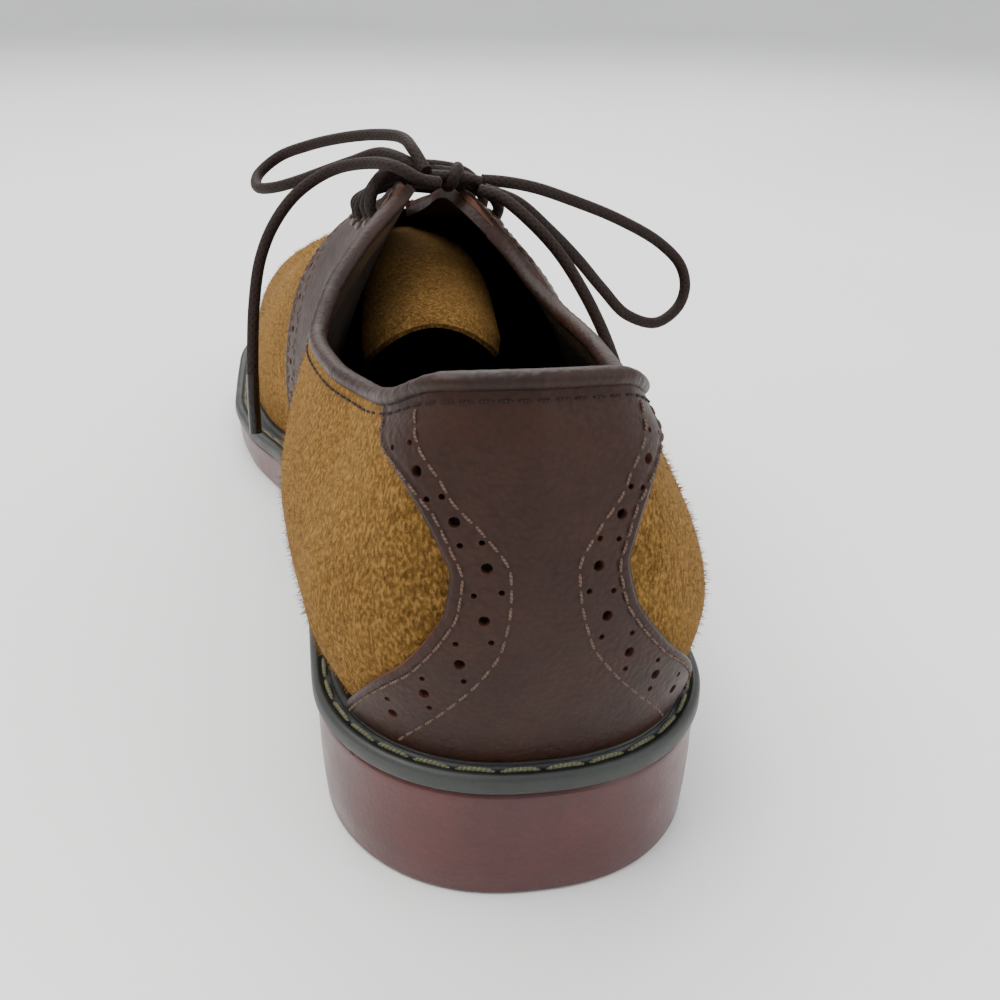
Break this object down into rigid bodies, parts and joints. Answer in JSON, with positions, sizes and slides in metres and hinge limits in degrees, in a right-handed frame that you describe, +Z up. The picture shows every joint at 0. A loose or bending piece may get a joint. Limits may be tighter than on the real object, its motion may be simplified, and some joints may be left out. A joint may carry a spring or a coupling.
{
  "type": "saddle shoe",
  "caption": "Right lace-up saddle shoe in suede with a leather heel counter and saddle, a stitched welt and a thick rubber sole.",
  "frame": {"origin": "on the ground, under the centre of the box of the shoe without its loose lace", "axes": "+Y from the heel to the toe, +X to the outer side of this right shoe, +Z up"},
  "size_m": [0.117, 0.3021, 0.1077],
  "materials": {
    "suede": "napped suede",
    "leather": "smooth, fine grain, low sheen",
    "welt": "satin, stitched",
    "sole": "satin brick-coloured rubber",
    "lining": "smooth lining leather",
    "lace": "waxed round lace"
  },
  "bodies": {
    "root": {"outsole": "sole", "welt": "welt", "insole": "lining", "upper": "suede", "tongue": "suede", "heel_counter": "leather", "saddle_outer": "leather", "saddle_inner": "leather", "collar_binding": "leather", "lace_crossings": "lace", "lace_knot": "lace", "lace_loop_outer": "lace", "lace_loop_inner": "lace", "lace_end_outer": "lace", "lace_end_inner": "lace"}
  },
  "joints": []
}
